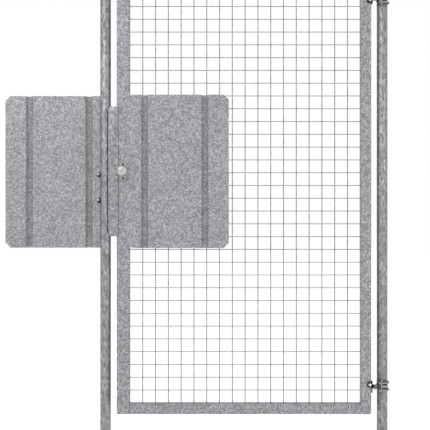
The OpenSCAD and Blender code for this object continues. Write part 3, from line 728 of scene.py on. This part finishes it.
def plated_finish(name, colour, roughness, metallic=1.0, uneven=0.16):
    """Zinc or nickel plate: smooth, slightly uneven, with fine rubbed marks."""
    material = bpy.data.materials.new(name)
    material.use_nodes = True
    nodes, links = material.node_tree.nodes, material.node_tree.links
    shader = nodes["Principled BSDF"]
    shader.inputs["Metallic"].default_value = metallic
    place = nodes.new("ShaderNodeTexCoord")
    patches = nodes.new("ShaderNodeTexNoise")
    patches.inputs["Scale"].default_value = 160
    patches.inputs["Detail"].default_value = 4
    links.new(place.outputs["Object"], patches.inputs["Vector"])
    tone = nodes.new("ShaderNodeValToRGB")
    tone.color_ramp.elements[0].position = 0.3
    tone.color_ramp.elements[0].color = (*[c * (1 - 1.25 * uneven) for c in colour], 1)
    tone.color_ramp.elements[1].position = 0.7
    tone.color_ramp.elements[1].color = (*[min(1, c * (1 + 0.75 * uneven)) for c in colour], 1)
    links.new(patches.outputs["Fac"], tone.inputs["Fac"])
    links.new(tone.outputs["Color"], shader.inputs["Base Color"])
    rough = nodes.new("ShaderNodeMapRange")
    rough.inputs["To Min"].default_value = roughness * 0.75
    rough.inputs["To Max"].default_value = roughness * 1.25
    links.new(patches.outputs["Fac"], rough.inputs["Value"])
    links.new(rough.outputs["Result"], shader.inputs["Roughness"])
    marks = nodes.new("ShaderNodeTexNoise")
    marks.inputs["Scale"].default_value = 900
    marks.inputs["Detail"].default_value = 2
    links.new(place.outputs["Object"], marks.inputs["Vector"])
    relief = nodes.new("ShaderNodeBump")
    relief.inputs["Strength"].default_value = 0.2
    relief.inputs["Distance"].default_value = 0.05 * MM
    links.new(marks.outputs["Fac"], relief.inputs["Height"])
    links.new(relief.outputs["Normal"], shader.inputs["Normal"])
    return material


bright_plate = plated_finish("bright_plate", (0.40, 0.40, 0.41), 0.24)
fit_out(softened_copy("keep_folded", "keep", 0.5 * MM), frame_zinc, "posts", "galvanised_steel", "keep")

KEEP_BOLT_R = 5 * MM
KEEP_BOLT_ZS = (KEEP_Z - 50 * MM, KEEP_Z + 50 * MM)
# Bright nuts, with painted shade underneath and close to the post.
NUT_BOTTOM = 9 * MM
nut_plate = plated_finish("nut_plate", (0.60, 0.61, 0.64), 0.26)
for nut_z in KEEP_BOLT_ZS:
    shade_near(nut_plate, "Z", nut_z - NUT_BOTTOM, 4 * MM, 11 * MM, UNDER_SHADE)
shade_near(nut_plate, "X", LATCH_X - POST_R, 1.5 * MM, 6 * MM, UNDER_SHADE)
WASHER_R, WASHER_EDGE_R, WASHER_EDGE, WASHER_T = 10 * MM, 9.7 * MM, 0.3 * MM, 1.6 * MM
NUT_FLATS, NUT_T, NUT_CHAMFER, NUT_DOME = 17 * MM, 8 * MM, 0.9 * MM, 4.8 * MM
keep_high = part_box("keep")[1]


def cap_nut(place, axis):
    """Chamfered hexagon nut with a ball end, its face at place and its height along axis."""
    bm = bmesh.new()
    corner_r = NUT_FLATS / 2 / math.cos(math.radians(30))
    sides = 48

    def hexagon_radius(a, limit):
        within = ((math.degrees(a) % 60) - 30)
        return min(NUT_FLATS / 2 / math.cos(math.radians(within)), limit)

    slope = NUT_CHAMFER * 0.6
    levels = [
        (0, corner_r - NUT_CHAMFER), (slope, corner_r),
        (NUT_T - slope, corner_r), (NUT_T, corner_r - NUT_CHAMFER),
    ]
    ball_r = NUT_FLATS * 0.47
    levels += [(NUT_T + 0.3 * MM, ball_r)]
    rise = NUT_DOME - 0.3 * MM
    levels += [
        (NUT_T + 0.3 * MM + rise * math.sin(a), ball_r * math.cos(a))
        for a in [math.radians(t) for t in (15, 30, 45, 60, 72, 82)]
    ]
    turn = Vector((0, 0, 1)).rotation_difference(Vector(axis)).to_matrix().to_4x4()
    turn = Matrix.Translation(place) @ turn
    rings = []
    for level, limit in levels:
        ring = []
        for a in [2 * math.pi * i / sides for i in range(sides)]:
            r = hexagon_radius(a, limit)
            ring.append(bm.verts.new(turn @ Vector((r * math.cos(a), r * math.sin(a), level))))
        rings.append(ring)
    for low_ring, high_ring in zip(rings, rings[1:]):
        for i in range(sides):
            j = (i + 1) % sides
            bm.faces.new((low_ring[i], low_ring[j], high_ring[j], high_ring[i]))
    bm.faces.new(rings[0])
    bm.faces.new(rings[-1])
    return finish_mesh(bm, "cap_nut", 22)


def joined(name, pieces):
    """One piece made of several separate solids."""
    bm = bmesh.new()
    for piece in pieces:
        bm.from_mesh(piece.data)
        bpy.data.objects.remove(piece)
    mesh = bpy.data.meshes.new(name)
    bm.to_mesh(mesh)
    bm.free()
    thing = bpy.data.objects.new(name, mesh)
    bpy.context.scene.collection.objects.link(thing)
    return thing


def keep_bolts():
    parts = []
    face_x = LATCH_X - POST_R
    for z in KEEP_BOLT_ZS:
        washer = [(KEEP_BOLT_R, 0.1 * MM), (WASHER_EDGE_R, 0.0), (WASHER_R, WASHER_EDGE),
                  (WASHER_R, WASHER_T - WASHER_EDGE), (WASHER_EDGE_R, WASHER_T), (KEEP_BOLT_R, WASHER_T)]
        parts.append(turned("washer", washer, (face_x, 0, z), axis=(-1, 0, 0), flats=48, closed=True))
        parts.append(cap_nut((face_x - WASHER_T, 0, z), (-1, 0, 0)))
        shank_end = keep_high.x
        length = shank_end - face_x + WASHER_T
        shank = [(0, 0), (KEEP_BOLT_R, 0), (KEEP_BOLT_R, length), (0, length)]
        parts.append(turned("shank", shank, (face_x - WASHER_T, 0, z), axis=(1, 0, 0), flats=32))
        head = [(9 * MM, 0)] + [
            (3.2 * MM + 5.8 * MM * math.cos(a), 2.5 * MM * math.sin(a))
            for a in [math.radians(t) for t in (8, 25, 45, 65, 90)]
        ] + [(2.9 * MM, 2.4 * MM), (2.6 * MM, 0.8 * MM), (0, 0.7 * MM)]
        parts.append(turned("button_head", [(0, 0)] + head, (shank_end, 0, z), axis=(1, 0, 0), flats=48))
    fit_out(joined("keep_bolt_set", parts), nut_plate, "posts", "zinc_plated_hardware", "keep_bolts")


keep_bolts()

# ---- Lock case and bolts ---------------------------------------------------------------------
# Pressed case inside the stile behind a nickelled forend. The latch bolt and the dead bolt are
# drawn back flush with it.
lock_plate = plated_finish("lock_plate", (0.56, 0.56, 0.55), 0.34)
case_body = softened_copy("lock_case_body", "lock_case", 0.25 * MM)
fit_out(case_body, lock_plate, "leaf", "lock_steel", "lock_case")
bolt_pair = softened_copy("lock_bolt_pair", "lock_bolts", 0.6 * MM)
fit_out(bolt_pair, bright_plate, "leaf", "lock_steel", "lock_bolts")

# ---- Roses -----------------------------------------------------------------------------------
# Oval plate on each side of the stile, cast in alloy and satin finished, with a raised middle
# and two countersunk screw holes.
ROSE_W, ROSE_H, ROSE_T = 30 * MM, 73 * MM, 8 * MM
ROSE_SCREW = 27 * MM
rose_satin = plated_finish("rose_satin", (0.40, 0.40, 0.38), 0.42, metallic=0.6)


def oval(w, h, steps=24):
    """Oval of two half circles joined by straight sides, as X and Z points about the centre."""
    r, straight = w / 2, h / 2 - w / 2
    turns = [math.pi * i / steps for i in range(steps + 1)]
    top = [(r * math.cos(a), straight + r * math.sin(a)) for a in turns]
    return top + [(-x, -z) for x, z in top]


def rose(name, side, node):
    """side is -1 on the outside face and +1 on the inside."""
    face = FRONT if side < 0 else BACK
    bm = bmesh.new()
    rings = []
    for inset, height in ((0, 0), (0, 3.2), (0.5, 5.0), (1.6, 6.6), (3.4, 7.6), (5.6, 8.0)):
        outline = oval(ROSE_W - 2 * inset * MM, ROSE_H - 2 * inset * MM)
        rings.append([bm.verts.new((LOCK_X + x, face + side * height * MM, LOCK_Z + z)) for x, z in outline])
    n = len(rings[0])
    for low_ring, high_ring in zip(rings, rings[1:]):
        for i in range(n):
            j = (i + 1) % n
            bm.faces.new((low_ring[i], low_ring[j], high_ring[j], high_ring[i]))
    bm.faces.new(rings[0])
    bm.faces.new(rings[-1])
    plate = finish_mesh(bm, name, 30)
    depth = 4 * ROSE_T
    axis = (0, side, 0)
    neck = [(0, -depth), (NECK_R + 0.3 * MM, -depth), (NECK_R + 0.3 * MM, depth), (0, depth)]
    cut_out(plate, turned("neck_cutter", neck, (LOCK_X, face, LOCK_Z), axis=axis, flats=48))
    for rise in (-ROSE_SCREW, ROSE_SCREW):
        hole = [(r * MM, h * MM) for r, h in ((0, 1.2), (3.7, 1.2), (3.7, 5.8), (5.6, 8.6), (0, 8.6))]
        cut_out(plate, turned("screw_cutter", hole, (LOCK_X, face, LOCK_Z + rise), axis=axis, flats=32))
    fit_out(plate, rose_satin, "leaf", "satin_alloy", node)


rose("outer_rose_plate", -1, "outer_rose")
rose("inner_rose_plate", 1, "inner_rose")

# ---- Rose screws -----------------------------------------------------------------------------
# Two black steel screws hold each rose to the stile. Only their heads are made here, and they
# sit deep in the countersunk holes.
black_screw = plated_finish("black_screw", (0.008, 0.008, 0.008), 0.7, metallic=0.0)


def rose_screws(name, side):
    face = FRONT if side < 0 else BACK
    parts = []
    for rise in (-ROSE_SCREW, ROSE_SCREW):
        head = [(0, 1.25), (3.6, 1.25), (3.6, 4.3), (3.2, 4.8), (1.5, 4.9), (1.0, 3.6), (0, 3.4)]
        parts.append(turned("screw", [(r * MM, h * MM) for r, h in head], (LOCK_X, face, LOCK_Z + rise),
                            axis=(0, side, 0), flats=24))
    fit_out(joined(name, parts), black_screw, "leaf", "satin_alloy")


rose_screws("outer_rose_screws", -1)
rose_screws("inner_rose_screws", 1)

# ---- Key cylinder ----------------------------------------------------------------------------
# Brass profile cylinder with satin nickel plate, right through the stile. Its round plug turns
# in the upper part and has a key slot on both faces.
MIDDLE_SHADE = (0.72, 0.72, 0.72)
nickel = plated_finish("nickel", (0.47, 0.46, 0.41), 0.40)
# Painted shade: a band down the middle of the cylinder is darker than its sides.
shade_near(nickel, "X", LOCK_X, 2.4 * MM, 3.6 * MM, MIDDLE_SHADE)
# A near-black finish that stands in for the shade inside the key slots.
painted_slot_shade = plated_finish("painted_slot_shade", (0.008, 0.008, 0.008), 0.7, metallic=0.0)
key_low, key_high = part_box("key_cylinder")
PLUG_R = 6.4 * MM


def key_cylinder():
    body = slab_y("key_cylinder_body", cylinder_outline(0), key_low.y, key_high.y)
    soften(body, 0.9 * MM)
    for side, face in ((-1, key_low.y), (1, key_high.y)):
        groove_r = PLUG_R + 0.5 * MM
        groove = [(PLUG_R, -0.8 * MM), (groove_r, -0.8 * MM), (groove_r, 1 * MM), (PLUG_R, 1 * MM)]
        cut_out(body, turned("plug_cutter", groove, (LOCK_X, face, CYLINDER_Z), axis=(0, side, 0),
                             flats=48, closed=True))
        slot = [(-1.3, -4.8), (1.3, -4.8), (1.3, 0), (1.9, 0.6), (1.3, 1.2), (1.3, 4.6), (-1.3, 4.6)]
        outline = [(LOCK_X + x * MM, CYLINDER_Z + z * MM) for x, z in slot]
        cut_out(body, slab_y("slot_cutter", outline, face - 4 * MM, face + 4 * MM))
        # Painted shade: a near-black piece fills each key slot below its face, standing in for the slot's
        # shadow.
        inner = [(LOCK_X + x * 0.97 * MM, CYLINDER_Z + z * 0.97 * MM) for x, z in slot]
        inside = sorted((face - side * 0.5 * MM, face - side * 3.9 * MM))
        slot_fill = slab_y("outer_slot_shade" if side < 0 else "inner_slot_shade", inner, inside[0], inside[1])
        fit_out(slot_fill, painted_slot_shade, "leaf", "nickelled_brass")
    flat_sides(body)
    fit_out(body, nickel, "leaf", "nickelled_brass", "key_cylinder")


key_cylinder()

# ---- Knobs and spindle -----------------------------------------------------------------------
# Two turned alloy knobs with a satin finish, pinned to a square steel spindle that works the
# lock's follower. Each has a slim neck and a flattened ball for a head.
KNOB_R = (knob_high.x - knob_low.x) / 2
KNOB_REACH = knob_high.y - knob_low.y
knob_satin = plated_finish("knob_satin", (0.50, 0.50, 0.475), 0.28, metallic=0.6, uneven=0.05)


def knob(name, side, node):
    face = FRONT if side < 0 else BACK
    head_t = 33 * MM
    base = KNOB_REACH - head_t
    collar_r = NECK_R + 2.2 * MM
    profile = [(0, 0), (NECK_R - 0.3 * MM, 0), (NECK_R, 0.3 * MM), (NECK_R, ROSE_T - 0.4 * MM),
               (collar_r, ROSE_T + 0.4 * MM), (collar_r, ROSE_T + 2.2 * MM), (NECK_R, ROSE_T + 3.2 * MM),
               (NECK_R - 0.6 * MM, base - 4 * MM), (NECK_R + 0.4 * MM, base - 0.5 * MM)]
    for i in range(3, 25):
        a = math.radians(-90 + 180 * i / 24)
        r = KNOB_R * math.cos(a) ** 0.55
        h = base + head_t / 2 * (1 + math.copysign(abs(math.sin(a)) ** 1.3, math.sin(a)))
        if r > NECK_R + 0.5 * MM or a > 0:
            profile.append((max(r, 0), h))
    profile[-1] = (0, KNOB_REACH)
    piece = turned(name, profile, (LOCK_X, face, LOCK_Z), axis=(0, side, 0), sharp_deg=32)
    fit_out(piece, knob_satin, "knob", "satin_alloy", node)


knob("outer_knob_turned", -1, "outer_knob")
knob("inner_knob_turned", 1, "inner_knob")
spindle_bar = softened_copy("spindle_bar", "spindle", 0.4 * MM)
fit_out(spindle_bar, bright_plate, "knob", "zinc_plated_hardware", "spindle")

# ---- Hinge brackets --------------------------------------------------------------------------
# A band sprung round the post, a wing on each side for the clamp rods, and an arm with the pin
# that the leaf hangs on. Cut from plate, welded and galvanised.
bracket_zinc = zinc_finish("bracket_zinc", streak=1.0, grain=1.2, tint=0.95)
for level in ("lower", "upper"):
    bracket = softened_copy(level + "_bracket", level + "_hinge_bracket", 0.4 * MM)
    fit_out(bracket, bracket_zinc, "posts", "galvanised_steel", level + "_hinge_bracket")

# ---- Clamp rods ------------------------------------------------------------------------------
# Two bent and threaded rods a hinge, bright zinc plated, each with two nuts that pull the wings
# against the post.
rod_plate = plated_finish("rod_plate", (0.27, 0.27, 0.275), 0.32)
for level in ("lower", "upper"):
    rods = softened_copy(level + "_rods", level + "_clamp_rods", 0.0)
    fit_out(rods, rod_plate, "posts", "zinc_plated_hardware", level + "_clamp_rods")

# ---- Hinge straps ----------------------------------------------------------------------------
# Dark passivated steel strap on the stile, narrowed to a barrel that turns on the pin, and held
# by one domed bolt right through the stile. The barrel is grey, and the dome has a painted highlight
# at its crown and painted shade round its skirt.
FIN_SHADE = (0.08, 0.08, 0.08)
FINS_INSET, FINS_REACH, PAST_FINS = 8 * MM, 15 * MM, 17 * MM
HIGHLIGHT_RIGHT, HIGHLIGHT_UP = 1.5 * MM, 0.5 * MM
strap_dark = plated_finish("strap_dark", (0.15, 0.15, 0.155), 0.45, metallic=0.8)
shade_near(strap_dark, "X", hinge_high.x - FINS_INSET, FINS_REACH, PAST_FINS, FIN_SHADE)
for level, bolt_z in zip(("lower", "upper"), STRAP_BOLT_ZS):
    dome_plate = plated_finish(level + "_dome_plate", (0.70, 0.71, 0.76), 0.16)
    # Painted highlight: a bright spot a little right of and above the dome's middle, with painted shade all
    # round it.
    shade_near(dome_plate, "X", STRAP_BOLT_X + HIGHLIGHT_RIGHT, 3.5 * MM, 6.5 * MM, UNDER_SHADE, inward=False)
    shade_near(dome_plate, "Z", bolt_z + HIGHLIGHT_UP, 2.8 * MM, 5.5 * MM, UNDER_SHADE, inward=False)
    strap = softened_copy(level + "_strap", level + "_hinge_strap", 0.5 * MM)
    fit_out(strap, strap_dark, "leaf", "blackened_steel", level + "_hinge_strap")
    strap_bolt = softened_copy(level + "_domed_bolt", level + "_strap_bolt", 0.0)
    fit_out(strap_bolt, dome_plate, "leaf", "zinc_plated_hardware", level + "_strap_bolt")
